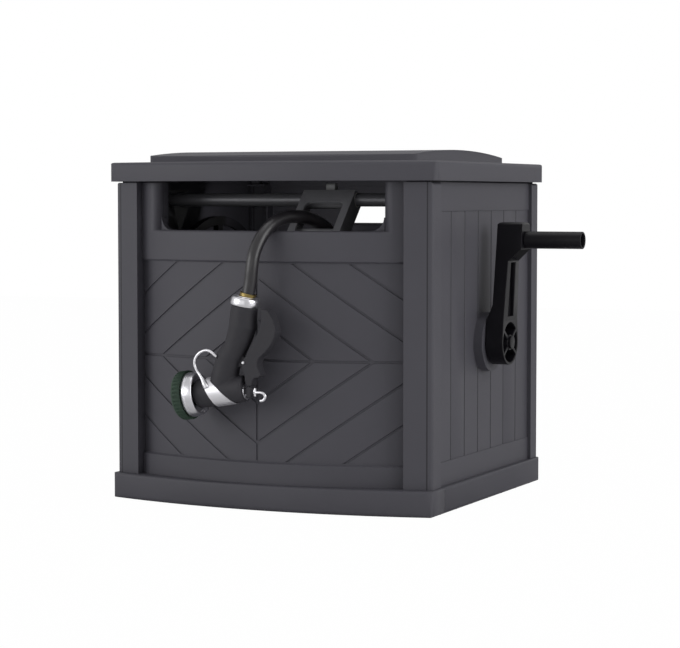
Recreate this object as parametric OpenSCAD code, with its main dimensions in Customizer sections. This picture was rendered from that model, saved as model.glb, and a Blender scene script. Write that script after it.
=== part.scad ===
// Garden hose reel in a moulded cabinet: hinged lid, hand crank, sliding hose guide and pistol nozzle.
// Millimetres. X runs across the front, the front looks along -Y, and Z is up from the floor.

/* [Lid] */
// Width of the lid
lid_w = 600; // [560:1:640]
// Depth of the lid from its front corners to its back edge
lid_d = 505; // [480:1:540]
// Height of the lid's skirt
lid_skirt = 32; // [28:1:40]
// Wall of the moulded lid
lid_wall = 4; // [3:0.5:5]
// Radius of the lid's corners, seen from above
lid_corner = 12; // [10:1:16]
// Rounding of the skirt's top edge
lid_round = 7; // [4:1:9]
// Height of the raised panel's crest above the skirt
crown_h = 21; // [18:1:26]
// Margin of the lid left bare at each side of the raised panel
crown_side = 54; // [40:1:70]
// Margin left bare in front of the raised panel
crown_front = 50; // [40:1:70]
// Margin left bare behind the raised panel
crown_back = 56; // [40:1:70]
// Radius of the raised panel's crown from front to back
crown_r = 2000; // [1700:50:3000]
// Gap that shows between the cabinet and the lid
lid_gap = 2; // [1.5:0.5:4]

/* [Cabinet] */
// Radius of the bowed front at the lid
bow_r = 1045; // [950:5:1200]
// Overhang of the lid over the cabinet
overhang = 10; // [8:1:12]
// Height of the cabinet under the lid
cab_h = 536; // [520:1:560]
// Wall of the moulded panels
wall = 4; // [3:0.5:5]
// Radius of the corner posts' outer edge
post_corner = 6; // [5:1:8]
// Width of a corner post across the front
post_w = 46; // [40:1:56]
// Depth of a corner post along the side
post_d = 35; // [30:1:45]
// Depth of the side panels' bands behind the posts
side_recess = 6; // [4:1:8]
// Depth of the boarded field behind its bands
field_recess = 1.5; // [1:0.5:2.5]
// Height of the boarded field's lower edge on the sides
field_z0 = 82; // [70:1:100]
// Height of the boarded field's upper edge on the sides
field_z1 = 489; // [470:1:500]
// Boards between two posts
side_boards = 7; // [5:1:9]
// Width of a groove between boards
groove_w = 4; // [3:0.5:6]
// Depth of a groove between boards
groove_d = 2; // [1:0.5:2.5]

/* [Front panel] */
// Radius of the front panel's own bow
panel_bow = 620; // [560:5:700]
// Depth of the front panel's ends behind the posts' inner edges
panel_set = 17; // [14:1:20]
// Depth of the front field behind its rails
front_field = 6; // [4:1:8]
// Height of the bottom rail's upper edge
rail_low = 79; // [70:1:90]
// Height of the upper rail's lower edge
rail_top = 406; // [380:1:420]
// Height of the sill that the hose runs over
sill_z = 457; // [440:1:462]
// Half width of the hose slot
slot_half = 204; // [190:1:208]
// Radius of the rolled cheek at each end of the slot
cheek_r = 14; // [10:1:18]
// Length of the straight run behind each cheek
cheek_run = 15; // [10:1:30]
// Radius in the slot's lower corners
slot_corner = 22; // [14:1:26]
// Height of the boards' meeting point
chevron_z = 246; // [220:1:270]
// Distance between chevron boards along the panel
chevron_pitch = 95.5; // [85:0.5:105]
// Rise of a chevron groove per unit of width
chevron_slope = 0.7; // [0.55:0.01:0.8]
// Sideways place of the boards' meeting point
chevron_x = -4; // [-12:1:12]

/* [Base] */
// Height of the base
base_h = 43; // [36:1:50]
// Reach of the base beyond the cabinet at the sides and back
base_out = 6; // [4:1:8]
// Reach of the base beyond the posts at the front
base_front = 13; // [10:1:16]
// Rounding of the base's lower edge
base_round = 8; // [5:1:10]
// Thickness of the base's deck and ribs
deck = 5; // [4:0.5:6]
// Distance between the ribs under the deck
rib_pitch = 70; // [50:1:76]

/* [Reel] */
// Distance of the axle behind the middle of the lid's depth
axle_y = 2; // [-3:1:6]
// Height of the axle
axle_z = 267; // [264:1:274]
// Radius of the reel's flanges
flange_r = 211; // [200:1:214]
// Width between the flanges
reel_in = 444; // [436:1:448]
// Radius of the drum
drum_r = 118; // [112:1:120]
// Wall of the drum and of the flange discs
drum_wall = 4; // [3:0.5:5]
// Width of a flange's rim
rim_w = 10; // [8:1:12]
// Spokes in a flange
spokes = 12; // [10:1:16]
// Radius of the axle stub on the crank side
axle_r = 11; // [10:0.5:12]
// Outer diameter of the hose
hose_d = 21; // [18:0.5:21.5]
// Distance between neighbouring turns
hose_pitch = 22.6; // [22.2:0.1:23.4]
// Turns of hose on the drum
hose_turns = 17.75; // [10:0.25:17.75]

/* [Crank] */
// Radius of the circle that the grip travels
crank_r = 173; // [150:1:180]
// Radius of the crank's hub
hub_r = 38; // [34:1:42]
// Width of the crank arm at its head
arm_head_w = 30; // [29.5:0.5:34]
// Length of the grip
grip_len = 100; // [80:1:120]
// Outer diameter of the grip
grip_d = 29; // [26:0.5:30]
// Diameter of the grip's spindle
spindle_d = 12; // [10:0.5:14]

/* [Hose guide] */
// Distance of the upper rod from the middle of the lid's depth
rod_y = -150; // [-154:1:-146]
// Height of the upper rod
rod_z = 507; // [504:1:510]
// Radius of the upper rod
rod_r = 11; // [10:0.5:12]
// Distance of the lower rod from the middle of the lid's depth
low_rod_y = -222; // [-224:1:-218]
// Height of the lower rod
low_rod_z = 432; // [428:1:436]
// Radius of the lower rod
low_rod_r = 8; // [7:0.5:9]
// Width of the guide
guide_w = 95; // [92:1:104]
// Middle of the guide at rest
guide_x = 68; // [66:1:72]
// Width of a leg of the guide
leg_w = 13; // [11:0.5:15]

/* [Nozzle] */
// Distance of the hanging nozzle from the middle of the lid's depth
nozzle_y = -332; // [-340:1:-332]
// Radius of the nozzle's grip
nozzle_r = 21.5; // [20:0.5:24]
// Radius of the chrome bezel
bezel_r = 36.5; // [34:0.5:37.5]
// Radius of the ribbed bumper
bumper_r = 40; // [39:0.5:41]
// Thickness of the nozzle's hook wire
hook_d = 5; // [3:0.25:6]

/* [Hidden] */
// Clearances
run_gap = 0.06; // between a shaft and its bore, on the radius
seat_gap = 0.2; // between pieces that seat in each other
move_gap = 0.4; // between pieces that pass each other
fit_in = 0.02; // between a pressed piece and its hole, on the radius
cut = 1; // how far a cutter runs past what it cuts
far = 400; // longer than any plan outline's half
arc_fn = 180;
bow_fn = 360;
bore_fn = 64;
soft_fn = 32;

// Lid and cabinet, seen from above
half_lid = lid_w / 2;
front_y = -lid_d / 2;
back_y = lid_d / 2;
bow_y = front_y + sqrt(bow_r * bow_r - half_lid * half_lid);
half_cab = half_lid - overhang;
cab_bow = bow_r - overhang;
post_x = half_cab - post_w;
post_front = bow_y - sqrt(cab_bow * cab_bow - half_cab * half_cab);
side_y0 = post_front + post_d;
side_y1 = back_y - post_d;
lid_z = cab_h + lid_gap;
lid_top = lid_z + lid_skirt;
wall_in = half_cab - side_recess - field_recess - wall;

// Front panel: its ends lie behind the posts' inner edges
half_panel = post_x - seat_gap;
panel_end = bow_y - sqrt(cab_bow * cab_bow - post_x * post_x) + panel_set;
panel_y = panel_end + sqrt(panel_bow * panel_bow - post_x * post_x);
panel_mid = panel_y - panel_bow;
rail_t = front_field + wall;
cheek_in = panel_bow - cheek_r;
cheek_turn = asin((slot_half + cheek_r) / cheek_in);
cheek_x = slot_half + cheek_r;
cheek_y = panel_y - cheek_in * cos(cheek_turn);
return_y = panel_end + 20;

// Screws that join the side panels to the back panel
screw_z = [base_h + 77, cab_h - 136];

// Lip that stands up inside the lid's skirt
lip_in = 8;
lip_w = 3;
lip_h = 8;

// Base
base_ribs = 3; // to each side of the middle one

// Back hand opening
hand_half = 95;
hand_z0 = cab_h - 72;
hand_z1 = cab_h - 36;
back_field_z1 = hand_z0 - 34;

// Brackets of the guide's rods
bracket_x = post_x - 6;
bracket_t = 4;

// Hinge of the lid
knuckle_r = 7;
hinge_pin_r = 3;
hinge_y = back_y + knuckle_r + move_gap;
hinge_z = lid_z + knuckle_r;
hinge_x = 170;
knuckle_w = 24;

// Reel, along the axle
half_in = reel_in / 2;
flange_t = drum_wall;
rim_t = 12;
hub_tube_r = 24;
pad_r = 50;
pad_x = half_cab + 8;
hub_x0 = pad_x + 2;
hub_x1 = hub_x0 + 30;
head_x1 = hub_x1 + 27;
head_x0 = hub_x0 + 13;
bush_r = axle_r + 4;
bush_flange = 3;
reel_hub_x = wall_in - 8;
inlet_r = 13.3;
inlet_seat = 9;
inlet_len = 21;
spigot_r = 12;
spigot_x = half_in + rim_t + 2.5;

// Crank
grip_z = axle_z + crank_r;
head_top = grip_z + 20;
boss_r = 11;
spoke_angle = 35;
spoke_w = 5;
pocket_d = 20;

// Hose on the drum: the turns lie on it, each ring cut in a little by its flat stretches
wind_step = 15;
wind_r = (drum_r + seat_gap + hose_d / 2 * cos(30)) / cos(wind_step / 2);
wind_x = -half_in + hose_d / 2 + 1.5;
wind_end = 320;
wind_start = wind_end + 360 * hose_turns;
coupling_len = 24;
neck_len = 17;
coupling_r = hose_d / 2 + 0.5;
elbow_r = coupling_r;

// Route of the free hose, from under the drum through the guide and over the sill to the nozzle
hose_route = [
    [108, 79, 134], [107, 55, 122], [106, 29, 115], [105, 2, 113], [104, -25, 115],
    [103, -51, 122], [102, -75, 134], [101, -97, 150], [101, -117, 169], [100, -132, 191],
    [100, -143, 215], [100, -150, 241], [100, -152, 267], [100, -152, 300], [99, -152, 330],
    [97.5, -152, 360], [95.5, -152.2, 388], [92.5, -154.4, 409.5], [88, -159.8, 428], [82.3, -168.4, 444],
    [75.3, -180.4, 457.7], [67, -194.6, 468.5], [59, -211.4, 475.8], [52, -229, 479.5], [45, -246.5, 480],
    [38, -261.4, 478.7], [31, -278.7, 473.7], [26, -294.6, 465.3], [21.5, -308.4, 453.7], [17.5, -319.4, 439.6],
    [14, -327.3, 423.4], [12.2, -331.2, 408.9], [10.9, -332.5, 394], [9, -332, 378], [5.6, -332, 360],
];

// Nozzle, in the plane y = nozzle_y: x and z of its main points
tilt_collar = 10;
tilt_hose = 12;
ferrule_at = [5.4, 359.7];
collar_at = [0, 348];
collar_h = 11;
barrel_at = [-75.2, 193.2];
barrel_tilt = 8;
barrel_len = 76;
barrel_r0 = 23.4;
barrel_r1 = 17;
grip_path = [
    [-1.4, 336.8], [-3.6, 324.3], [-5, 304], [-11, 286], [-21, 268], [-31, 250], [-35, 232], [-38, 217],
];
grip_radii = [21.3, 22, 22.8, 21.5, 22, 21.5, 21, 22];
hook_out = 18; // how far the hook's wire stands off the middle plane, to the front
hook_path = [
    [-69, 212.6], [-73.5, 217.5], [-78, 222.6], [-82.8, 229], [-86.5, 236], [-87.8, 243], [-86, 251],
    [-81, 257.5], [-74, 262], [-66, 264], [-58, 262], [-50, 256.5], [-47.5, 254.5],
];
pivot = [1, 246];
pivot_r = 2.5;
lever_w = 22;
lug_w = 8;
clip_at = [24, 200];
clip_path = [
    [24, 200], [25, 203], [30, 204], [36, 203.8], [41, 200.5], [43, 195], [41, 189.5], [37, 186.5], [33, 185.5],
];
clip_d = 4;
head_neck = 24;

// Helpers

function unit(v) = v / norm(v);
function tangent(p, i) = unit(p[min(i + 1, len(p) - 1)] - p[max(i - 1, 0)]);
function ring(c, t, side, r, n) =
    let (a = unit(side - (side * t) * t), b = cross(t, a))
    [for (k = [0 : n - 1]) c + r * cos(360 * k / n) * a + r * sin(360 * k / n) * b];
function bend(a, b, c) =
    let (u = b - a, v = c - b, w = c - a, s = norm(cross(u, v)))
    s < 0.001 ? 100000 : norm(u) * norm(v) * norm(w) / (2 * s);
function run(p, i = 1) = i >= len(p) ? 0 : norm(p[i] - p[i - 1]) + run(p, i + 1);

// Round bar swept along a path, with a radius for each of its points
module swept(path, radii, side, n) {
    last = len(path) - 1;
    points = [for (i = [0 : last]) each ring(path[i], tangent(path, i), side, radii[i], n)];
    walls = [
        for (i = [0 : last - 1], k = [0 : n - 1])
            let (a = i * n + k, b = i * n + (k + 1) % n)
            each [[a, b + n, b], [a, a + n, b + n]],
    ];
    caps = [
        for (k = [1 : n - 2])
            each [[0, k, k + 1], [last * n, last * n + k + 1, last * n + k]],
    ];
    polyhedron(points, concat(walls, caps), convexity = 10);
}

module wire(path, d, side, n) {
    swept(path, [for (p = path) d / 2], side, n);
}

// Cylinder along +X from x
module rod_x(x, len, r, fn = bore_fn) {
    translate([x, 0, 0]) rotate([0, 90, 0]) cylinder(r = r, h = len, $fn = fn);
}

module at_axle() {
    translate([0, axle_y, axle_z]) children();
}

// Plan outline with a bowed front: half width, back edge, radius of the bow and of the corners
module bowed_plan(half, back, bow, corner) {
    cx = half - corner;
    cy = bow_y - sqrt(pow(bow - corner, 2) - cx * cx);
    out = [cx, cy - bow_y] / (bow - corner) * 3 * corner;
    difference() {
        intersection() {
            translate([0, bow_y]) circle(r = bow, $fn = bow_fn);
            translate([-half, -far]) square([2 * half, far + back]);
        }
        for (side = [0, 1])
            mirror([side, 0]) {
                translate([cx, cy]) difference() {
                    polygon([[0, 0], out, [4 * corner, -4 * corner], [3 * corner, 0]]);
                    circle(r = corner, $fn = soft_fn);
                }
                translate([cx, back - corner]) difference() {
                    square(2 * corner);
                    circle(r = corner, $fn = soft_fn);
                }
            }
    }
}

module cab_plan(inset) {
    bowed_plan(half_cab - inset, back_y - inset, cab_bow - inset, max(post_corner - inset, 0.5));
}

// Section through a bowed block's outer edge, rounded at the bottom and at the top
function edge_section(edge, deep, z0, z1, low, top) = concat(
    [[edge - deep, z0]],
    [for (a = [0 : 15 : 90]) [edge - low * (1 - sin(a)), z0 + low * (1 - cos(a))]],
    [for (a = [0 : 15 : 90]) [edge - top * (1 - cos(a)), z1 - top * (1 - sin(a))]],
    [[edge - deep, z1]]);

// Block on a bowed plan with all its outer edges rounded
module bowed_block(half, back, bow, corner, z0, z1, low, top) {
    skin = 0.01;
    intersection() {
        translate([0, 0, z0]) linear_extrude(z1 - z0) bowed_plan(half, back, bow, corner);
        translate([0, far, 0]) rotate([90, 0, 0]) linear_extrude(2 * far) {
            polygon(edge_section(half + skin, half + 5, z0 - skin, z1 + skin, low, top));
            mirror([1, 0]) polygon(edge_section(half + skin, half + 5, z0 - skin, z1 + skin, low, top));
        }
        translate([-far, 0, 0]) rotate([90, 0, 90]) linear_extrude(2 * far)
            polygon(edge_section(back + skin, 2 * far, z0 - skin, z1 + skin, low, top));
        translate([0, bow_y, 0]) rotate_extrude($fn = bow_fn)
            polygon(edge_section(bow + skin, bow - 100, z0 - skin, z1 + skin, low, top));
    }
}

// Base

module base_tray() color([0.29, 0.28, 0.31]) {
    skirt = base_round + 4;
    half = half_cab + base_out;
    back = back_y + base_out;
    bow = cab_bow + base_front;
    hollow = base_h - deck;
    difference() {
        bowed_block(half, back, bow, post_corner + 12, 0, base_h, base_round, base_round / 2);
        // Hollow under the deck, left open below
        translate([0, 0, -cut]) linear_extrude(hollow + cut)
            bowed_plan(half - skirt, back - skirt, bow - skirt, post_corner);
        // Drain slots through the deck
        for (x = [-1, 1], y = [-1, 1])
            translate([x * 105 - 20, y * 35 - 4, hollow - cut]) cube([40, 8, deck + 2 * cut]);
        // Seams where the skirt's side pieces meet its front
        for (side = [-1, 1])
            translate([side * half - 1.5, side_y0 + 2, -cut]) cube([3, 1.6, base_h + 2 * cut]);
    }
    // Ribs and a middle foot under the deck
    for (x = [-base_ribs : base_ribs])
        translate([x * rib_pitch - deck / 2, -248, 0]) cube([deck, 496, hollow]);
    for (y = [-base_ribs : base_ribs])
        translate([skirt / 2 - half, y * rib_pitch - deck / 2, 0]) cube([2 * half - skirt, deck, hollow]);
    cylinder(r = 20, h = hollow, $fn = bore_fn);
}

// Side panels

module side_plan() {
    deep = side_recess;
    thick = wall + field_recess;
    difference() {
        intersection() {
            cab_plan(0);
            translate([post_x, -far]) square([post_w + cut, 2 * far]);
        }
        translate([half_cab - deep, side_y0]) square([deep + cut, side_y1 - side_y0]);
        difference() {
            cab_plan(wall);
            translate([half_cab - deep - thick, side_y0 - wall])
                square([deep + thick, side_y1 - side_y0 + 2 * wall]);
        }
    }
    // Return walls that the front and back panels meet
    intersection() {
        cab_plan(0);
        union() {
            translate([post_x, -far]) square([wall, far + return_y]);
            translate([post_x, back_y - 24]) square([wall, 24]);
        }
    }
}

module side_panel() {
    step = (side_y1 - side_y0) / side_boards;
    field_x = half_cab - side_recess - field_recess;
    difference() {
        union() {
            translate([0, 0, base_h]) linear_extrude(cab_h - base_h) side_plan();
            at_axle() rod_x(field_x - wall, pad_x - field_x + wall, pad_r, arc_fn);
            // Closed tops of the posts
            translate([0, 0, cab_h - wall]) linear_extrude(wall) intersection() {
                cab_plan(0);
                union() {
                    translate([post_x, -far]) square([post_w + cut, far + side_y0]);
                    translate([post_x, side_y1]) square([post_w + cut, far]);
                }
            }
        }
        // Hollow behind the axle's pad
        at_axle() difference() {
            rod_x(field_x - wall - cut, pad_x - field_x + cut, pad_r - wall, bore_fn);
            rod_x(field_x - wall - 2 * cut, pad_x - field_x + 4 * cut, bush_r + wall, bore_fn);
        }
        // Boarded field, open round the axle's pad
        difference() {
            translate([field_x, side_y0, field_z0])
                cube([field_recess + cut, side_y1 - side_y0, field_z1 - field_z0]);
            at_axle() rod_x(field_x - cut, pad_x - field_x + 2 * cut, pad_r, arc_fn);
        }
        difference() {
            for (i = [1 : side_boards - 1])
                translate([field_x, side_y0 + i * step, field_z0])
                    linear_extrude(field_z1 - field_z0)
                    polygon([[-groove_d, 0], [cut, -groove_w / 2 - groove_w * cut / groove_d / 2],
                        [cut, groove_w / 2 + groove_w * cut / groove_d / 2]]);
            at_axle() rod_x(field_x - groove_d - cut, pad_x - field_x + groove_d + 2 * cut, pad_r, arc_fn);
        }
        at_axle() rod_x(field_x - wall - cut, pad_x - field_x + wall + 2 * cut, bush_r + fit_in);
        // Rounded top of the posts' outer edge
        translate([half_cab - post_corner, -far, cab_h - post_corner]) difference() {
            cube([post_corner + cut, 2 * far, post_corner + cut]);
            rotate([-90, 0, 0]) translate([0, 0, -cut])
                cylinder(r = post_corner, h = 2 * far + 2 * cut, $fn = bore_fn);
        }
        // Finger scallop in the back edge
        translate([half_cab - 16, back_y + 14, cab_h - 40]) rod_x(0, 17, 18);
        // Screw holes into the return walls
        for (z = screw_z)
            translate([0, back_y - 14, z]) rod_x(post_x - cut, wall + 2 * cut, 2.1, 24);
    }
    // Inner stiffening ribs
    for (z = [field_z0 + 40, field_z1 - 40])
        translate([wall_in - 6, side_y0 + 10, z]) cube([6 + wall / 2, side_y1 - side_y0 - 20, wall]);
    // Lip under the lid, which keeps rain and light out
    translate([0, 0, cab_h - 2]) linear_extrude(lip_h + 2) intersection() {
        difference() {
            cab_plan(lip_in);
            cab_plan(lip_in + lip_w);
        }
        translate([post_x + 1, -far]) square([post_w, 2 * far]);
    }
}

module side_panel_right() color([0.30, 0.29, 0.32]) side_panel();
module side_panel_left() color([0.30, 0.29, 0.32]) mirror([1, 0, 0]) side_panel();

// Front panel: turned about the bow's own axis, so that every edge follows it

module panel_ring(profile) {
    sweep = 2 * asin(min(1, (half_panel + 30) / panel_bow));
    translate([0, panel_y, 0]) rotate([0, 0, 270 - sweep / 2])
        rotate_extrude(angle = sweep, $fn = arc_fn) polygon(profile);
}

module chevrons() {
    // Concentric diamonds of boards round the panel's middle, as strips in the plane of X and Z
    reach = ceil((half_panel * chevron_slope + rail_top - rail_low) / (chevron_pitch * chevron_slope));
    for (k = [1 : reach], sx = [-1, 1], sz = [-1, 1]) {
        a = [sx * k * chevron_pitch, 0];
        b = [0, sz * k * chevron_pitch * chevron_slope];
        w = groove_w / cos(atan(chevron_slope));
        polygon([a, b, b + [0, sz * w], a + [sx * w / chevron_slope, 0]]);
    }
    translate([-groove_w / 2, -far]) square([groove_w, 2 * far]);
    translate([-far, -groove_w / 2]) square([2 * far, groove_w]);
}

module front_panel() color([0.31, 0.30, 0.33]) {
    r0 = panel_bow;
    rf = panel_bow - front_field;
    ri = panel_bow - rail_t;
    lip = 4;
    lip_arc = [for (a = [0 : 30 : 90]) [r0 - lip + lip * cos(a), sill_z - lip + lip * sin(a)]];
    difference() {
        intersection() {
            panel_ring(concat(
                [[ri, base_h], [r0, base_h], [r0, rail_low - 2], [r0 - 2, rail_low], [rf, rail_low + 1],
                    [rf, rail_top - 1], [r0 - 2, rail_top], [r0, rail_top + 2]],
                lip_arc,
                [[ri - 6, sill_z], [ri - 6, sill_z - 10], [ri, sill_z - 10]]));
            translate([-half_panel, -far, 0]) cube([2 * half_panel, far + panel_end + 40, cab_h]);
        }
        // Board grooves, cut to an even depth behind the bowed face
        difference() {
            intersection() {
                translate([chevron_x, 0, chevron_z]) rotate([90, 0, 0]) linear_extrude(far) chevrons();
                translate([-far, -far, rail_low + 2]) cube([2 * far, far, rail_top - rail_low - 4]);
            }
            translate([0, panel_y, 0]) cylinder(r = rf - groove_d, h = cab_h, $fn = 2 * arc_fn);
        }
    }
    for (side = [-1, 1]) cheek(side);
}

// Rolled end of the hose slot, from the sill up to the lid
module cheek(side) {
    edge_turn = asin(half_panel / panel_bow);
    root = 7;
    high = cab_h - sill_z + root;
    translate([0, 0, sill_z - root]) mirror([side > 0 ? 0 : 1, 0, 0]) {
        linear_extrude(high) {
            // Face strip between the post and the roll
            intersection() {
                translate([0, panel_y]) difference() {
                    circle(r = panel_bow, $fn = arc_fn * 2);
                    circle(r = panel_bow - wall, $fn = arc_fn * 2);
                }
                polygon([[0, panel_y], [far * sin(cheek_turn) * 2, panel_y - far * cos(cheek_turn) * 2],
                    [far * 2, panel_y - far * 2], [far * 2, panel_y]]);
                translate([0, -far]) square([half_panel, far]);
            }
            // The roll itself
            translate([cheek_x, cheek_y]) intersection() {
                difference() {
                    circle(r = cheek_r, $fn = bore_fn);
                    circle(r = cheek_r - wall, $fn = bore_fn);
                }
                polygon([[0, 0], [far * sin(cheek_turn), -far * cos(cheek_turn)], [-far, -far], [-far, 0]]);
            }
            // Straight run into the cabinet
            translate([slot_half, cheek_y]) square([wall, cheek_run]);
            translate([slot_half, cheek_y + cheek_run - wall])
                square([bracket_x - 2 - slot_half, wall]);
        }
        // Rounded lower corner of the slot
        intersection() {
            translate([slot_half - slot_corner, 0, root - cut]) difference() {
                translate([0, -far, 0]) cube([slot_corner + cut, far, slot_corner + cut]);
                translate([0, cut, slot_corner + cut]) rotate([90, 0, 0])
                    cylinder(r = slot_corner, h = far + 2 * cut, $fn = bore_fn);
            }
            translate([0, panel_y, 0]) difference() {
                cylinder(r = panel_bow - 12, h = 200, $fn = arc_fn * 2);
                translate([0, 0, -cut]) cylinder(r = panel_bow - 26, h = 202, $fn = arc_fn * 2);
            }
        }
    }
}

// Back panel

module back_panel() color([0.30, 0.29, 0.32]) {
    half = post_x - seat_gap;
    y0 = back_y - wall - field_recess;
    step = 2 * half / side_boards;
    mid = (hand_z0 + hand_z1) / 2;
    hand_r = (hand_z1 - hand_z0) / 2;
    difference() {
        translate([-half, y0, base_h]) cube([2 * half, wall + field_recess, cab_h - base_h]);
        translate([-half - cut, back_y - field_recess, field_z0])
            cube([2 * half + 2 * cut, field_recess + cut, back_field_z1 - field_z0]);
        for (i = [1 : side_boards - 1])
            translate([-half + i * step, back_y - field_recess, field_z0])
                linear_extrude(back_field_z1 - field_z0)
                polygon([[0, -groove_d], [-groove_w, cut], [groove_w, cut]]);
        // Hand opening with round ends
        translate([-hand_half + hand_r, y0 - cut, hand_z0])
            cube([2 * (hand_half - hand_r), wall + field_recess + 2 * cut, 2 * hand_r]);
        for (side = [-1, 1])
            translate([side * (hand_half - hand_r), y0 - cut, mid]) rotate([-90, 0, 0])
                cylinder(r = hand_r, h = wall + field_recess + 2 * cut, $fn = bore_fn);
    }
    // Lip under the lid, on a shelf at the wall's top
    translate([-half, back_y - lip_in - lip_w, cab_h - wall]) cube([2 * half, lip_in + lip_w - wall, wall]);
    translate([-half, back_y - lip_in - lip_w, cab_h - 2]) cube([2 * half, lip_w, lip_h + 2]);
    // Rolled lip round the hand opening, inside
    for (z = [hand_z0 - 3, hand_z1])
        translate([-hand_half + hand_r, y0 - 8, z]) cube([2 * (hand_half - hand_r), 8, 3]);
    // Ears for the hinge pins
    for (hx = [-1, 1], side = [-1, 1])
        translate([hx * hinge_x + side * (knuckle_w + move_gap) - knuckle_w / 2, 0, 0]) ear();
    // Flanges that the side panels' screws go into
    for (side = [-1, 1])
        difference() {
            translate([side * (half - 2) - 2, y0 - 22, base_h]) cube([4, 22, cab_h - base_h - 20]);
            for (z = screw_z)
                translate([side * half - 6, back_y - 14, z]) rod_x(0, 12, 2.1, 24);
        }
}

module ear() {
    foot = 26;
    deep = hinge_y + knuckle_r - back_y;
    difference() {
        union() {
            translate([0, hinge_y, hinge_z]) rod_x(0, knuckle_w, knuckle_r);
            translate([0, back_y - cut, hinge_z - foot]) cube([knuckle_w, deep + cut, foot - knuckle_r - lid_gap]);
            translate([0, back_y + 2 * move_gap, hinge_z - knuckle_r - lid_gap - cut])
                cube([knuckle_w, deep - 2 * move_gap, knuckle_r + lid_gap + cut]);
        }
        translate([0, hinge_y, hinge_z]) rod_x(-cut, knuckle_w + 2 * cut, hinge_pin_r + fit_in);
        // Slope under the ear
        translate([-cut, back_y, hinge_z - foot]) rotate([90, 0, 90]) linear_extrude(knuckle_w + 2 * cut)
            polygon([[0, -cut], [deep + cut, deep], [deep + cut, -cut]]);
    }
}

module hinge_pins() color([0.72, 0.72, 0.74]) {
    len = 3 * knuckle_w + 2 * move_gap;
    for (side = [-1, 1])
        translate([side * hinge_x - len / 2, hinge_y, hinge_z]) rod_x(0, len, hinge_pin_r);
}

module panel_screws() color([0.70, 0.70, 0.72]) {
    for (side = [-1, 1], z = screw_z)
        translate([side * post_x, back_y - 14, z]) rotate([0, side * 90, 0]) {
            translate([0, 0, wall]) cylinder(r1 = 4.2, r2 = 3, h = 2.4, $fn = soft_fn);
            translate([0, 0, -8]) cylinder(r = 2, h = 8 + wall, $fn = soft_fn);
        }
}

// Lid

module lid_crown(inset, drop) {
    half = half_lid - crown_side - inset;
    corner = 16 - inset;
    mid = (crown_back - crown_front) / 2;
    intersection() {
        translate([0, 0, lid_z]) linear_extrude(lid_skirt + crown_h + cut)
            bowed_plan(half, back_y - crown_back - inset, bow_r - crown_front - inset, corner);
        // Crown as narrow flats, too shallow to see between
        translate([-far, -mid - 15, lid_top + crown_h - drop]) rotate([90, 0, 90]) linear_extrude(2 * far)
            polygon(concat([[-far, -3 * lid_skirt]],
                [for (y = [-260 : 10 : 260]) [y, sqrt(crown_r * crown_r - y * y) - crown_r]],
                [[far, -3 * lid_skirt]]));
    }
}

module lid_shell() color([0.33, 0.32, 0.35]) {
    difference() {
        union() {
            bowed_block(half_lid, back_y, bow_r, lid_corner, lid_z, lid_top, 0.5, lid_round);
            lid_crown(0, 0);
        }
        translate([0, 0, lid_z - cut]) linear_extrude(lid_skirt - lid_wall + cut)
            bowed_plan(half_lid - lid_wall, back_y - lid_wall, bow_r - lid_wall, lid_corner - lid_wall);
        lid_crown(lid_wall, lid_wall);
    }
    // Pads that rest on the posts
    pad_h = lid_skirt - lid_wall + lid_gap - seat_gap;
    for (side = [-1, 1], y = [post_front + 22, back_y - 22])
        translate([side * (half_cab - 24) - 8, y - 6, cab_h + seat_gap]) cube([16, 12, pad_h]);
    // Ribs under the skirt's top
    for (x = [-200, 200])
        translate([x, front_y + 20, lid_top - lid_wall - 10]) cube([lid_wall - 1, lid_d - 40, 10]);
    // Middle knuckles of the hinges
    for (side = [-1, 1])
        translate([side * hinge_x - knuckle_w / 2, 0, 0]) difference() {
            union() {
                translate([0, hinge_y, hinge_z]) rod_x(0, knuckle_w, knuckle_r);
                translate([0, back_y - lid_wall, hinge_z - 2])
                    cube([knuckle_w, hinge_y - back_y + lid_wall, knuckle_r + 2]);
            }
            translate([0, hinge_y, hinge_z]) rod_x(-cut, knuckle_w + 2 * cut, hinge_pin_r + run_gap);
        }
}

// Rods of the hose guide and their brackets

module rod_bracket() {
    x0 = bracket_x;
    y1 = rod_y + 60;
    cup = 10;
    difference() {
        union() {
            translate([x0, rod_y - 15, rod_z - 17]) cube([bracket_t, y1 - rod_y + 15, 34]);
            translate([x0, rod_y, rod_z]) rod_x(0, wall_in - x0, rod_r + 4);
            translate([x0, y1 - 20, rod_z - 2]) cube([wall_in - x0, 20, bracket_t]);
            translate([x0 - cup, low_rod_y, low_rod_z]) rod_x(0, cup + bracket_t, low_rod_r + 4);
            // Web that carries the lower rod
            translate([x0, 0, 0]) rotate([90, 0, 90]) linear_extrude(bracket_t) polygon([
                [rod_y - 15, rod_z - 17], [low_rod_y - 6, low_rod_z + 8], [low_rod_y + 6, low_rod_z - 8],
                [rod_y + 30, rod_z - 60], [y1, rod_z - 17]]);
        }
        translate([x0, rod_y, rod_z]) rod_x(-cut, wall_in - x0 - 1 + seat_gap + cut, rod_r + fit_in);
        translate([x0 - cup, low_rod_y, low_rod_z]) rod_x(-cut, cup + bracket_t + 2 * cut, low_rod_r + fit_in);
        // The lower cup's front is flat, clear of the front panel
        translate([x0 - cup - cut, low_rod_y - low_rod_r - 9.5, low_rod_z - 30])
            cube([cup + bracket_t + 2 * cut, 10, 60]);
    }
}

module rod_bracket_right() color([0.24, 0.24, 0.26]) rod_bracket();
module rod_bracket_left() color([0.24, 0.24, 0.26]) mirror([1, 0, 0]) rod_bracket();

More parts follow.
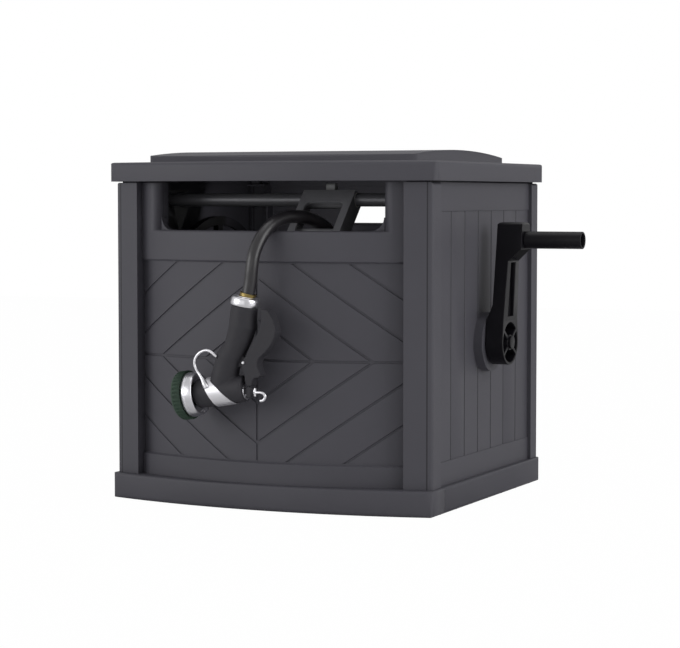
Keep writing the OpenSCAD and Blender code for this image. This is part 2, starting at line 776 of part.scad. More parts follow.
module guide_rod_upper() color([0.36, 0.36, 0.38])
    translate([0, rod_y, rod_z]) difference() {
        rod_x(-wall_in + 1, 2 * wall_in - 2, rod_r);
        rod_x(-wall_in - 1, 2 * wall_in + 2, rod_r - 2.5);
    }

module guide_rod_lower() color([0.36, 0.36, 0.38])
    translate([0, low_rod_y, low_rod_z]) difference() {
        rod_x(-bracket_x - bracket_t, 2 * (bracket_x + bracket_t), low_rod_r);
        rod_x(-wall_in, 2 * wall_in, low_rod_r - 2);
    }

// Axle bush and water inlet

module axle_bush() color([0.85, 0.84, 0.80]) at_axle() difference() {
    union() {
        rod_x(wall_in, pad_x - wall_in, bush_r);
        rod_x(wall_in - bush_flange, bush_flange, bush_r + 5);
    }
    rod_x(wall_in - bush_flange - cut, pad_x - wall_in + bush_flange + 2 * cut, axle_r + run_gap);
}

module water_inlet() color([0.80, 0.66, 0.34]) at_axle() mirror([1, 0, 0]) difference() {
    union() {
        rod_x(spigot_x, wall_in - 3 - spigot_x, spigot_r);
        rod_x(wall_in - 3, 3, bush_r + 6, 6);
        rod_x(wall_in, pad_x - wall_in, bush_r - fit_in);
        rod_x(pad_x, inlet_seat, inlet_r + 1);
        rod_x(pad_x + inlet_seat, inlet_len, inlet_r);
    }
    rod_x(spigot_x - cut, pad_x + inlet_seat + inlet_len + 2 * cut - spigot_x, 8);
    // Grooves of the seals
    for (x = [8, 16])
        translate([spigot_x + x, 0, 0]) difference() {
            rod_x(0, 3, spigot_r + cut);
            rod_x(-cut, 5, spigot_r - 2);
        }
}

module inlet_nut() color([0.80, 0.66, 0.34]) at_axle() mirror([1, 0, 0]) difference() {
    rod_x(pad_x + seat_gap, 8, 20, 6);
    rod_x(pad_x - cut, 12, inlet_r + 1 + run_gap);
}

module inlet_o_rings() color([0.08, 0.08, 0.08]) at_axle() mirror([1, 0, 0])
    for (x = [8, 16])
        translate([spigot_x + x + 1.5, 0, 0]) rotate([0, 90, 0])
            rotate_extrude($fn = bore_fn) translate([spigot_r - 1.1, 0]) circle(r = 0.9, $fn = 8);

// Reel

// The hose starts straight from its coupling, so the feed stands a little ahead of the first turn
feed_arm = hose_d + coupling_len + neck_len;
feed_r = norm([feed_arm, wind_r]);
feed_turn = wind_start + atan(feed_arm / wind_r) - 90;

module drum_barrel() color([0.22, 0.22, 0.24]) at_axle() difference() {
    rod_x(-half_in, reel_in, drum_r, arc_fn);
    rod_x(-half_in - cut, reel_in + 2 * cut, drum_r - drum_wall, arc_fn);
    rotate([feed_turn, 0, 0]) translate([wind_x, 0, drum_r / 2])
        cylinder(r = elbow_r - 2 + seat_gap, h = drum_r, $fn = bore_fn);
}

module flange(hub_bore) {
    difference() {
        union() {
            rod_x(half_in, flange_t, flange_r, arc_fn);
            difference() {
                rod_x(half_in, rim_t, flange_r, arc_fn);
                rod_x(half_in - cut, rim_t + 2 * cut, flange_r - rim_w, arc_fn);
            }
            difference() {
                rod_x(half_in, rim_t, drum_r + 6, arc_fn);
                rod_x(half_in - cut, rim_t + 2 * cut, drum_r - 4, arc_fn);
            }
            for (i = [0 : spokes - 1])
                rotate([i * 360 / spokes, 0, 0]) translate([half_in, -5, hub_tube_r - 2])
                    cube([rim_t, 10, flange_r - rim_w / 2 - hub_tube_r]);
            rod_x(half_in, reel_hub_x - half_in, hub_tube_r);
        }
        // Windows between the spokes
        for (i = [0 : spokes - 1])
            rotate([(i + 0.5) * 360 / spokes, 0, 0]) translate([half_in - cut, 0, 0]) rotate([90, 0, 90])
                linear_extrude(rim_t + 2 * cut) window_plan();
        rod_x(half_in - cut, reel_hub_x - half_in + 2 * cut, hub_bore);
    }
}

module window_plan() {
    a = 180 / spokes;
    intersection() {
        difference() {
            circle(r = flange_r - rim_w - 6, $fn = arc_fn);
            circle(r = drum_r + 22, $fn = arc_fn);
        }
        translate([0, 9 / sin(a)]) polygon([[0, 0], [far * sin(a), far * cos(a)], [-far * sin(a), far * cos(a)]]);
    }
}

module reel_flange_right() color([0.10, 0.10, 0.11]) at_axle() flange(axle_r + fit_in);
module reel_flange_left() color([0.10, 0.10, 0.11]) at_axle() mirror([1, 0, 0]) flange(spigot_r + run_gap);

module crank_shaft() color([0.66, 0.67, 0.69]) at_axle() {
    rod_x(half_in - 30, hub_x0 - half_in + 30, axle_r);
    rod_x(hub_x0, 22, axle_r, 6);
    rod_x(half_in - 34, 4, axle_r + 4);
}

// Feed from the hub through the drum's wall to the hose
module feed_elbow() color([0.13, 0.13, 0.14]) at_axle() difference() {
    union() {
        rotate([feed_turn, 0, 0]) translate([wind_x, 0, 0]) {
            cylinder(r = elbow_r - 2, h = feed_r, $fn = bore_fn);
            translate([0, 0, feed_r]) sphere(r = elbow_r, $fn = bore_fn);
        }
        rotate([wind_start - 90, 0, 0]) translate([wind_x, -feed_arm, wind_r]) rotate([-90, 0, 0])
            cylinder(r = elbow_r - 2, h = neck_len - seat_gap, $fn = bore_fn);
        rod_x(-half_in, 28, hub_tube_r);
    }
    rod_x(-half_in - cut, 18, 8);
}

module hose_coupling() color([0.80, 0.66, 0.34]) at_axle()
    rotate([wind_start - 90, 0, 0]) translate([wind_x, -hose_d, wind_r])
        rotate([90, 0, 0]) cylinder(r = coupling_r, h = coupling_len, $fn = bore_fn);

// One layer of hose, as one unbroken tube whose ends run straight
function on_drum(a) = [
    wind_x + hose_pitch * (wind_start - a) / 360,
    wind_r * cos(a),
    wind_r * sin(a),
];
wind_steps = round((wind_start - wind_end) / wind_step);
wind_turns = [for (i = [0 : wind_steps]) on_drum(wind_start - i * wind_step)];
wind_lead = [0, cos(wind_start + 90), sin(wind_start + 90)] * hose_d;
wind_tail = [0, cos(wind_end - 90), sin(wind_end - 90)] * hose_d;
wind_path = concat([wind_turns[0] + wind_lead], wind_turns, [wind_turns[wind_steps] + wind_tail]);
wind_gap = hose_pitch - hose_d;
echo(turn_to_turn = wind_gap, wound_length = run(wind_path));
echo(free_length = run(hose_route));
echo(least_bend = min([for (i = [1 : len(hose_route) - 2]) bend(hose_route[i - 1], hose_route[i], hose_route[i + 1])]));

module hose_winding() color([0.10, 0.10, 0.10]) at_axle()
    wire(wind_path, hose_d, [1, 0, 0], 6);

// Crank

module arm_face() {
    // Seen from the crank's side, in Y and Z from the axle: the hub's circle tapers to the head
    half = arm_head_w / 2;
    reach = head_top - axle_z;
    lean = asin((hub_r - half) / reach);
    circle(r = hub_r, $fn = arc_fn);
    polygon([[hub_r * cos(lean), hub_r * sin(lean)], [half, reach], [-half, reach],
        [-hub_r * cos(lean), hub_r * sin(lean)]]);
}

module arm_side() {
    // Seen from the front, in X and Z from the axle: the head steps out beyond the arm
    knee = crank_r - 36;
    polygon([
        [hub_x0, -hub_r - cut], [hub_x1, -hub_r - cut], [hub_x1, hub_r], [hub_x1 + 5, knee],
        [head_x1, knee + 20], [head_x1, head_top - axle_z - 3], [head_x1 - 3, head_top - axle_z],
        [head_x0 + 3, head_top - axle_z], [head_x0, head_top - axle_z - 3],
        [hub_x0 + 9, hub_r + 26], [hub_x0, hub_r],
    ]);
}

module crank_arm() color([0.09, 0.09, 0.10]) at_axle() difference() {
    intersection() {
        translate([hub_x0 - cut, 0, 0]) rotate([90, 0, 90]) linear_extrude(head_x1 - hub_x0 + 2 * cut) arm_face();
        translate([0, far / 2, 0]) rotate([90, 0, 0]) linear_extrude(far) arm_side();
    }
    // Pockets between the hub's spokes
    difference() {
        rod_x(hub_x1 - pocket_d, pocket_d + cut, hub_r - 4, arc_fn);
        rod_x(hub_x1 - pocket_d - cut, pocket_d + 3 * cut, boss_r + 2, bore_fn);
        for (a = [spoke_angle, -spoke_angle])
            rotate([a, 0, 0]) translate([hub_x1 - pocket_d - cut, -hub_r, -spoke_w / 2])
                cube([pocket_d + 2 * cut, 2 * hub_r, spoke_w]);
    }
    // Channel up the outer face
    translate([hub_x1 - 6, 0, 0]) rotate([90, 0, 90]) linear_extrude(30)
        polygon([[-13, hub_r + 6], [13, hub_r + 6], [9, crank_r - 38], [-9, crank_r - 38]]);
    // Socket for the shaft's hexagon, and the screw
    rod_x(hub_x0 - cut, 23 + cut, axle_r + seat_gap, 6);
    rod_x(hub_x0, 40, 3.5, 24);
    // Hole for the grip's spindle
    translate([0, 0, crank_r]) rod_x(head_x0 - cut, 80, spindle_d / 2 + fit_in);
}

module crank_screw() color([0.75, 0.75, 0.77]) at_axle() {
    rod_x(hub_x0 + 22, hub_x1 - hub_x0 - 21, 3.2, 24);
    rod_x(hub_x1 + 0.05, 4, boss_r, bore_fn);
}

module grip_spindle() color([0.66, 0.67, 0.69]) at_axle() translate([0, 0, crank_r]) {
    rod_x(head_x0, head_x1 - head_x0 + grip_len - 34, spindle_d / 2);
    rod_x(head_x1 + grip_len - 34, 3, spindle_d / 2 + 3);
}

module crank_grip() color([0.08, 0.08, 0.09]) at_axle() translate([head_x1 + move_gap, 0, crank_r])
    difference() {
        rod_x(0, grip_len, grip_d / 2);
        rod_x(-cut, grip_len, spindle_d / 2 + run_gap);
        rod_x(grip_len - 35, 36, grip_d / 2 - 3);
    }

// Hose guide, in its own frame: X across, Y down the slope from the upper rod, Z out of it

guide_dir = unit([0, low_rod_y - rod_y, low_rod_z - rod_z]);
guide_len = norm([low_rod_y - rod_y, low_rod_z - rod_z]);
guide_turn = atan2(guide_dir[2], guide_dir[1]);
plate_z0 = rod_r + 0.8;
plate_t = 5;
sleeve_r = rod_r + 4;
rest_at = [73, -2.3];
rest_r = 4;

module in_guide() {
    translate([guide_x, rod_y, rod_z]) rotate([guide_turn, 0, 0]) children();
}

module guide_frame() color([0.27, 0.27, 0.29]) {
    half = guide_w / 2;
    top = -12;
    side_d = 34;
    in_guide() difference() {
        union() {
            mirror([0, 0, 1]) {
                // Sloping plate with its window
                translate([0, 0, plate_z0]) linear_extrude(plate_t) difference() {
                    translate([-half, top]) square([guide_w, guide_len + 4 - top]);
                    translate([-half + leg_w, 20]) square([guide_w - 2 * leg_w, guide_len - 34]);
                }
            }
            // Side walls and sleeves
            for (side = [-1, 1])
                translate([side * (half - 2) - 2, top, -plate_z0 - plate_t])
                    cube([4, guide_len + 4 - top, side_d]);
            rod_x(-half, guide_w, sleeve_r);
            translate([0, guide_len, 0]) rod_x(-half, guide_w, low_rod_r + 4);
            // Bar that the hose lies on
            translate([0, rest_at[0], rest_at[1]]) rod_x(2 - half, guide_w - 4, rest_r);
        }
        rod_x(-half - cut, guide_w + 2 * cut, rod_r + 1.5);
        translate([0, guide_len, 0]) rod_x(-half - cut, guide_w + 2 * cut, low_rod_r + 1.5);
    }
}

module guide_bushes() color([0.85, 0.84, 0.80]) in_guide()
    for (side = [-1, 1]) {
        guide_bush(side, 0, rod_r);
        translate([0, guide_len, 0]) guide_bush(side, 0, low_rod_r);
    }

module guide_bush(side, y, r) {
    len = 14;
    translate([side * (guide_w / 2 - len / 2) - len / 2, y, 0]) difference() {
        rod_x(0, len, r + 1.5 - fit_in);
        rod_x(-cut, len + 2 * cut, r + run_gap);
    }
}

module guide_tab() color([0.55, 0.55, 0.56]) {
    translate([guide_x - 12, rod_y + 2.5, rod_z + sleeve_r + 0.3]) rotate([90, 0, 90]) linear_extrude(17)
        polygon([[0, 0], [13, 0], [12, 10], [9, 13], [3, 13], [0, 10]]);
}

// Free hose and nozzle

module free_hose() color([0.10, 0.10, 0.10]) wire(hose_route, hose_d, [1, 0, 0], 12);

module in_nozzle(at, turn) {
    translate([at[0], nozzle_y, at[1]]) rotate([0, turn, 0]) children();
}

module hose_ferrule() color([0.80, 0.62, 0.25]) in_nozzle(ferrule_at, tilt_hose) {
    translate([0, 0, -9.7]) cylinder(r = 13, h = 9.7, $fn = bore_fn);
    translate([0, 0, -3]) cylinder(r = 14, h = 2, $fn = bore_fn);
}

module swivel_collar() color([0.85, 0.86, 0.88]) in_nozzle(collar_at, tilt_collar)
    rotate_extrude($fn = bore_fn) polygon([
        [0, -collar_h], [nozzle_r + 1, -collar_h], [nozzle_r + 2, -collar_h + 2],
        [nozzle_r + 1.5, -2], [nozzle_r, 0], [17, 0], [17, 2], [0, 2]]);

module nozzle_grip() color([0.20, 0.20, 0.22]) difference() {
    union() {
        swept([for (p = grip_path) [p[0], nozzle_y, p[1]]], grip_radii, [0, 1, 0], 20);
        // Lug for the trigger's pin
        translate([0, nozzle_y + lug_w / 2, 0]) rotate([90, 0, 0]) linear_extrude(lug_w)
            polygon([[-24, 262], [-4, 256], [4, 252], [7, 247], [5, 241], [0, 239], [-24, 236]]);
    }
    in_nozzle(barrel_at, 90 - barrel_tilt)
        cylinder(r1 = barrel_r0 + 0.1, r2 = barrel_r1 + 0.1, h = barrel_len, $fn = bore_fn);
    at_pivot() cylinder(r = pivot_r + fit_in, h = 60, center = true, $fn = bore_fn);
}

module at_pivot() {
    translate([pivot[0], nozzle_y, pivot[1]]) rotate([90, 0, 0]) children();
}

module nozzle_barrel() color([0.17, 0.17, 0.18]) difference() {
    union() {
        in_nozzle(barrel_at, 90 - barrel_tilt) {
            cylinder(r1 = barrel_r0, r2 = barrel_r1, h = barrel_len, $fn = bore_fn);
            translate([0, 0, -8]) cylinder(r = head_neck - 6, h = 8, $fn = bore_fn);
        }
        // Tab that the lock's wire turns in
        translate([clip_at[0] - 30, nozzle_y - 11, clip_at[1] - 6]) cube([34, 8, 12]);
    }
    translate([clip_at[0], nozzle_y, clip_at[1]]) rotate([90, 0, 0])
        cylinder(r = clip_d / 2 + run_gap, h = 20, $fn = bore_fn);
}

// Chrome strap that wraps the barrel on the slant and carries the hook
module nozzle_strap() color([0.86, 0.87, 0.89]) intersection() {
    in_nozzle(barrel_at, 90 - barrel_tilt) difference() {
        cylinder(r1 = barrel_r0 + 1.6, r2 = barrel_r1 + 1.6, h = barrel_len, $fn = bore_fn);
        translate([0, 0, -cut]) cylinder(r1 = barrel_r0 + 0.2, r2 = barrel_r1 + 0.2, h = barrel_len + 2 * cut, $fn = bore_fn);
    }
    translate([0, nozzle_y + 60, 0]) rotate([90, 0, 0]) linear_extrude(120)
        polygon([[-73, 232], [-64, 232], [-63, 214], [-46, 203], [-32, 192], [-19, 181], [-19, 165], [-50, 165],
            [-57, 183], [-64, 195], [-73, 209]]);
}

module nozzle_hook() color([0.86, 0.87, 0.89])
    wire([for (p = hook_path) [p[0], nozzle_y - hook_out, p[1]]], hook_d, [0, 1, 0], 8);

module trigger_pin() color([0.86, 0.87, 0.89]) at_pivot()
    cylinder(r = pivot_r, h = lever_w + 6, center = true, $fn = bore_fn);

module packing_nut() color([0.86, 0.87, 0.89]) in_nozzle(barrel_at, 90 - barrel_tilt)
    translate([0, 6, barrel_len + 0.1]) cylinder(r = 8, h = 5, $fn = 6);

// Lever behind the grip, forked round the grip's lug
module nozzle_trigger() color([0.22, 0.22, 0.24]) difference() {
    union() {
        translate([0, nozzle_y + lever_w / 2, 0]) rotate([90, 0, 0]) linear_extrude(lever_w)
            polygon([[30, 333], [44, 330], [55, 312], [58, 296], [52, 279], [38, 262], [28, 253],
                [25, 241], [32, 227], [24, 222], [14, 231], [6, 240], [5, 251], [12, 266], [19, 280],
                [26, 294], [32, 310], [33, 322]]);
        at_pivot() cylinder(r = 6, h = lever_w, center = true, $fn = bore_fn);
    }
    translate([-10, nozzle_y - lug_w / 2 - move_gap, 220]) cube([20, lug_w + 2 * move_gap, 44]);
    at_pivot() cylinder(r = pivot_r + run_gap, h = 60, center = true, $fn = bore_fn);
}

// Turning head, on the barrel's axis

module nozzle_bezel() color([0.88, 0.89, 0.91]) in_nozzle(barrel_at, -90 - barrel_tilt)
    rotate_extrude($fn = bore_fn) polygon([
        [head_neck - 6 + run_gap, 0.4], [head_neck + 1, 0.4], [head_neck + 4, 4], [bezel_r - 3, 8], [bezel_r, 11],
        [bezel_r, 20], [bezel_r - 2, 24], [bezel_r - 2, 34], [bezel_r - 5, 34], [bezel_r - 5, 12],
        [head_neck - 6 + run_gap, 9]]);

module nozzle_bumper() color([0.15, 0.28, 0.20]) in_nozzle(barrel_at, -90 - barrel_tilt) difference() {
    rotate_extrude($fn = bore_fn) polygon([
        [bezel_r - 2 + 0.05, 24.2], [bumper_r - 1, 24.2], [bumper_r, 26], [bumper_r, 39.5], [bumper_r - 2, 42.5],
        [bezel_r - 4, 42.5], [bezel_r - 4, 34.2], [bezel_r - 2 + 0.05, 34.2]]);
    for (i = [0 : 35])
        rotate([0, 0, i * 10]) translate([bumper_r + 0.6, 0, 24]) cylinder(r = 1.8, h = 14.5, $fn = 6);
}

module spray_face() color([0.25, 0.26, 0.27]) in_nozzle(barrel_at, -90 - barrel_tilt) difference() {
    translate([0, 0, 30]) cylinder(r = bezel_r - 5.2, h = 4, $fn = bore_fn);
    for (ringed = [[6, 8], [12, 16], [18, 25]], i = [0 : ringed[0] - 1])
        rotate([0, 0, i * 360 / ringed[0]]) translate([ringed[1], 0, 28]) cylinder(r = 1.2, h = 8, $fn = 8);
}

module trigger_clip() color([0.86, 0.87, 0.89]) {
    wire([for (p = clip_path) [p[0], nozzle_y - 15, p[1]]], clip_d, [0, 1, 0], 8);
    translate([clip_at[0], nozzle_y - 16, clip_at[1]]) rotate([-90, 0, 0])
        cylinder(r = clip_d / 2, h = 16, $fn = bore_fn);
}

base_tray();
front_panel();
back_panel();
side_panel_left();
side_panel_right();
rod_bracket_left();
rod_bracket_right();
guide_rod_upper();
guide_rod_lower();
axle_bush();
water_inlet();
inlet_nut();
inlet_o_rings();
hinge_pins();
panel_screws();
lid_shell();
drum_barrel();
reel_flange_left();
reel_flange_right();
crank_shaft();
feed_elbow();
hose_coupling();
hose_winding();
crank_arm();
crank_screw();
grip_spindle();
crank_grip();
guide_frame();
guide_bushes();
guide_tab();
free_hose();
hose_ferrule();
swivel_collar();
nozzle_grip();
nozzle_barrel();
nozzle_strap();
nozzle_hook();
trigger_pin();
packing_nut();
nozzle_trigger();
nozzle_bezel();
nozzle_bumper();
spray_face();
trigger_clip();
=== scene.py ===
from math import cos, pi, radians, sin

import bmesh
import bpy
from mathutils import Matrix, Vector


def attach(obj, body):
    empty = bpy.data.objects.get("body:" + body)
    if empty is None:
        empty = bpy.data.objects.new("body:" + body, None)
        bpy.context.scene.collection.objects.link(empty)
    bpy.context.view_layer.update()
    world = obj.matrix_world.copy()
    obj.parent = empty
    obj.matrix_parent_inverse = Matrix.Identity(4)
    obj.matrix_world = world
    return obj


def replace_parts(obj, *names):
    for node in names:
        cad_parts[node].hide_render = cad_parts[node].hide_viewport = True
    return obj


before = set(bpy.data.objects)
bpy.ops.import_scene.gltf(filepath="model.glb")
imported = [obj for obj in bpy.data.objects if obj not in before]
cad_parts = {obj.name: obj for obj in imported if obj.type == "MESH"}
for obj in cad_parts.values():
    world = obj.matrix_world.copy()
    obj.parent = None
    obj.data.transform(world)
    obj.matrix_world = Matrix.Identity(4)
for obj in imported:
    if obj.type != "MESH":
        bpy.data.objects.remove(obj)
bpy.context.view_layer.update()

# Camera, floor and light
# The reel stands on a plain white floor under soft light, seen from a little to the right of its front
# and from just above its middle.
camera = bpy.data.objects.new("camera", bpy.data.cameras.new("camera"))
camera.location = (1.5835, -3.4041, 0.5120)
camera.rotation_euler = (radians(86.614), 0, radians(24.750))
camera.data.sensor_width = 36
camera.data.lens = 113.68
bpy.context.collection.objects.link(camera)
bpy.context.scene.camera = camera
bpy.context.scene.view_settings.view_transform = "Standard"


def paint(r, g, b):
    """A colour as a screen shows it, from 0 to 255, as the linear colour that a shader takes."""
    return tuple(
        v / 12.92 if v <= 0.04045 else ((v + 0.055) / 1.055) ** 2.4 for v in (r / 255, g / 255, b / 255)
    ) + (1.0,)


class Signal:
    """A number on its way through a material's nodes, which adds a Math node for each operator."""

    def __init__(self, tree, socket):
        self.tree, self.socket = tree, socket

    def math(self, operation, *values):
        step = self.tree.nodes.new("ShaderNodeMath")
        step.operation = operation
        for slot, value in zip(step.inputs, values):
            if isinstance(value, Signal):
                self.tree.links.new(value.socket, slot)
            else:
                slot.default_value = value
        return Signal(self.tree, step.outputs[0])

    def __add__(self, other):
        return self.math("ADD", self, other)

    __radd__ = __add__

    def __mul__(self, other):
        return self.math("MULTIPLY", self, other)

    __rmul__ = __mul__

    def __gt__(self, other):
        return self.math("GREATER_THAN", self, other)

    def __lt__(self, other):
        return self.math("LESS_THAN", self, other)

    def __abs__(self):
        return self.math("ABSOLUTE", self)


class Finish:
    """A material under construction, with a Principled shader as its surface."""

    def __init__(self, name, colour, roughness, metallic=0.0, **others):
        self.material = bpy.data.materials.new(name)
        self.material.use_nodes = True
        self.tree = self.material.node_tree
        self.skin = self.tree.nodes["Principled BSDF"]
        self.set("Base Color", colour)
        self.set("Roughness", roughness)
        self.set("Metallic", metallic)
        for socket, value in others.items():
            self.set(socket.replace("_", " "), value)

    def set(self, socket, value):
        if isinstance(value, Signal):
            self.tree.links.new(value.socket, self.skin.inputs[socket])
        else:
            self.skin.inputs[socket].default_value = value

    def node(self, kind, settings=None, inputs=None, output=0):
        step = self.tree.nodes.new(kind)
        for name, value in (settings or {}).items():
            setattr(step, name, value)
        for slot, value in (inputs or {}).items():
            if isinstance(value, Signal):
                self.tree.links.new(value.socket, step.inputs[slot])
            else:
                step.inputs[slot].default_value = value
        return Signal(self.tree, step.outputs[output])

    def place(self):
        return self.node("ShaderNodeTexCoord", output="Object")

    def noise(self, scale, detail=2.0, rough=0.5):
        return self.node("ShaderNodeTexNoise", inputs={
            "Vector": self.place(), "Scale": scale, "Detail": detail, "Roughness": rough})

    def blend(self, amount, first, second):
        return self.node("ShaderNodeMix", {"data_type": "RGBA"}, {0: amount, 6: first, 7: second}, output=2)

    def relief(self, height, depth, edge=None):
        """Surface relief of a depth in metres, with edges rounded by a radius where one is given."""
        inputs = {"Height": height, "Distance": depth, "Strength": 1.0}
        if edge:
            inputs["Normal"] = self.node("ShaderNodeBevel", {"samples": 4}, {"Radius": edge})
        self.set("Normal", self.node("ShaderNodeBump", inputs=inputs))


def finished(piece, finish):
    """The piece in one finish all over."""
    piece.data.materials.clear()
    piece.data.materials.append(finish.material)
    return piece


sky = bpy.data.worlds.new("studio")
bpy.context.scene.world = sky
sky.use_nodes = True
air = sky.node_tree
rays = air.nodes.new("ShaderNodeLightPath")
seen = Signal(air, rays.outputs["Is Camera Ray"])
mirrored = Signal(air, rays.outputs["Is Glossy Ray"])
ambient, reflected = 0.27, 0.60
air.links.new(
    (ambient + (reflected - ambient) * mirrored + (1 - ambient) * seen).socket,
    air.nodes["Background"].inputs["Strength"])
air.nodes["Background"].inputs["Color"].default_value = (1, 1, 1, 1)


def softbox(name, place, aim, size, power):
    """A soft lamp: where it stands, what it faces, its width and height in metres, and its watts."""
    lamp = bpy.data.lights.new(name, "AREA")
    lamp.shape = "RECTANGLE"
    lamp.size, lamp.size_y = size
    lamp.energy = power
    holder = bpy.data.objects.new(name, lamp)
    holder.location = place
    holder.rotation_euler = (Vector(aim) - Vector(place)).to_track_quat("-Z", "Y").to_euler()
    holder.visible_camera = False
    bpy.context.collection.objects.link(holder)


softbox("key", (-2.4, -2.8, 1.10), (0, 0, 0.35), (2.6, 1.8), 38)
softbox("front", (0.4, -4.6, 0.9), (0, 0, 0.4), (3.0, 1.6), 8)
softbox("inside", (0, 0.03, 0.49), (0, 0.25, 0.40), (0.5, 0.06), 0.15)
softbox("side", (3.6, -0.4, 1.5), (0.2, 0, 0.3), (2.6, 2.4), 54)
softbox("top", (0.2, 0.2, 3.4), (0, 0, 0.4), (2.6, 2.6), 24)

sheet = bmesh.new()
bmesh.ops.create_grid(sheet, x_segments=1, y_segments=1, size=6)
ground = bpy.data.meshes.new("floor")
sheet.to_mesh(ground)
sheet.free()
floor = bpy.data.objects.new("floor", ground)
bpy.context.collection.objects.link(floor)
pale = Finish("white_floor", (0.9, 0.9, 0.9, 1), 0.85)
looked_at = pale.node("ShaderNodeLightPath", output="Is Camera Ray")
glow = pale.node("ShaderNodeEmission", inputs={"Color": (1, 1, 1, 1)})
matt = Signal(pale.tree, pale.skin.outputs[0])
floor_surface = pale.node("ShaderNodeMixShader", inputs={0: 0.99 * looked_at, 1: matt, 2: glow})
pale.tree.links.new(floor_surface.socket, pale.tree.nodes["Material Output"].inputs[0])
finished(floor, pale)


# Cabinet panels
# Charcoal polypropylene, injection moulded with a fine matte grain. The panels slide into the posts and
# stand on the base.
def charcoal_skin(name):
    """The cabinet's plastic, and its own colour before any painted shade is laid over it."""
    skin = Finish(name, paint(74, 73, 78), 0.55, Specular_IOR_Level=0.4)
    grain = skin.noise(1500, 2, 0.6)
    cloud = skin.noise(6, 3, 0.5)
    colour = skin.blend(cloud, paint(68, 67, 74), paint(79, 78, 85))
    skin.set("Base Color", colour)
    skin.set("Roughness", 0.46 + 0.14 * cloud + 0.06 * grain)
    skin.relief(grain, 0.00012, edge=0.0012)
    return skin, colour


def cad_copy(node, crease=30):
    """The CAD node's own mesh, merged and smooth but for its creases, as a piece that stands for it."""
    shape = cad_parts[node].data.copy()
    merged = bmesh.new()
    merged.from_mesh(shape)
    bmesh.ops.remove_doubles(merged, verts=merged.verts, dist=0.00001)
    merged.to_mesh(shape)
    merged.free()
    shape.shade_smooth()
    shape.set_sharp_from_angle(angle=radians(crease))
    piece = bpy.data.objects.new(node + "_shown", shape)
    bpy.context.collection.objects.link(piece)
    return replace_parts(piece, node)


def flat_faced(piece):
    """The piece's mesh, opened for work, with the triangles of each flat face joined."""
    faces = bmesh.new()
    faces.from_mesh(piece.data)
    bmesh.ops.dissolve_limit(
        faces, angle_limit=radians(0.5), use_dissolve_boundaries=False, verts=faces.verts, edges=faces.edges)
    return faces


def round_off(piece, width):
    """The moulded or turned edges of a piece, rounded by a radius in metres."""
    faces = flat_faced(piece)
    faces.to_mesh(piece.data)
    faces.free()
    edge = piece.modifiers.new("edge", "BEVEL")
    edge.width = width
    edge.segments = 3
    edge.limit_method = "ANGLE"
    edge.angle_limit = radians(28)
    edge.harden_normals = True


def dressed(nodes, finish, body, crease=30, edge=None):
    """CAD nodes that need only their finish, and rounded edges where a radius is given."""
    for node in nodes:
        piece = finished(cad_copy(node, crease), finish)
        if edge:
            round_off(piece, edge)
        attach(piece, body)


charcoal, _ = charcoal_skin("charcoal_plastic")
dressed(["base_tray"], charcoal, "cabinet", crease=20)
dressed(["back_panel"], charcoal, "cabinet", crease=12)
dressed(["lid_shell"], charcoal, "lid", crease=20)

side_board_x = 0.2825
groove_mouth = 0.0004
groove_floor = 0.0024
# Painted shade: the side panels are painted dark across the depth of their board grooves, where shade falls
# in the grooves.
grooved, unshaded_side = charcoal_skin("groove_shaded_charcoal")
from_middle = abs(grooved.node("ShaderNodeSeparateXYZ", inputs={"Vector": grooved.place()}))
painted_groove_shade = (from_middle < side_board_x - groove_mouth) * (from_middle > side_board_x - groove_floor)
grooved.set("Base Color", grooved.blend(painted_groove_shade, unshaded_side, paint(34, 33, 38)))
dressed(["side_panel_left", "side_panel_right"], grooved, "cabinet", crease=12)

# Front panel
# The boarded panel is one bowed moulding, with the sill and the rolled cheeks of the hose slot on it. Its
# bow is shallow, and each face that lies nearly square to the bow's own axis is shaded exactly square to it.
bow_axis_y = 0.3297
nearly_square = 0.995
boarded = finished(cad_copy("front_panel", 20), charcoal)
smooth = [corner.vector.copy() for corner in boarded.data.corner_normals]
for board in boarded.data.polygons:
    for corner in board.loop_indices:
        spot = boarded.data.vertices[boarded.data.loops[corner].vertex_index].co
        out = Vector((spot.x, spot.y - bow_axis_y, 0)).normalized()
        if board.normal.dot(out) > nearly_square:
            smooth[corner] = out
        elif board.normal.dot(out) < -nearly_square:
            smooth[corner] = -out
boarded.data.normals_split_custom_set(smooth)
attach(boarded, "cabinet")

# Guide, rods and brackets
# Black moulded brackets carry two dark painted tubes, and the guide slides on them on pale bushes. The
# guide's sloping frame has a window with rounded corners, and its top bar stands a little proud.
dark = Finish("dark_plastic", paint(52, 52, 55), 0.45)
dark.set("Roughness", 0.36 + 0.18 * dark.noise(30, 3))
dark.relief(dark.noise(1400, 2), 0.0001, edge=0.0008)
dressed(["rod_bracket_left", "rod_bracket_right"], dark, "cabinet")

slate = Finish("slate_plastic", paint(122, 122, 126), 0.5, Specular_IOR_Level=0.4)
slate_cloud = slate.noise(26, 3)
slate.set("Base Color", slate.blend(slate_cloud, paint(116, 116, 120), paint(130, 130, 134)))
slate.set("Roughness", 0.42 + 0.18 * slate_cloud)
slate.relief(slate.noise(1400, 2), 0.0001, edge=0.0008)

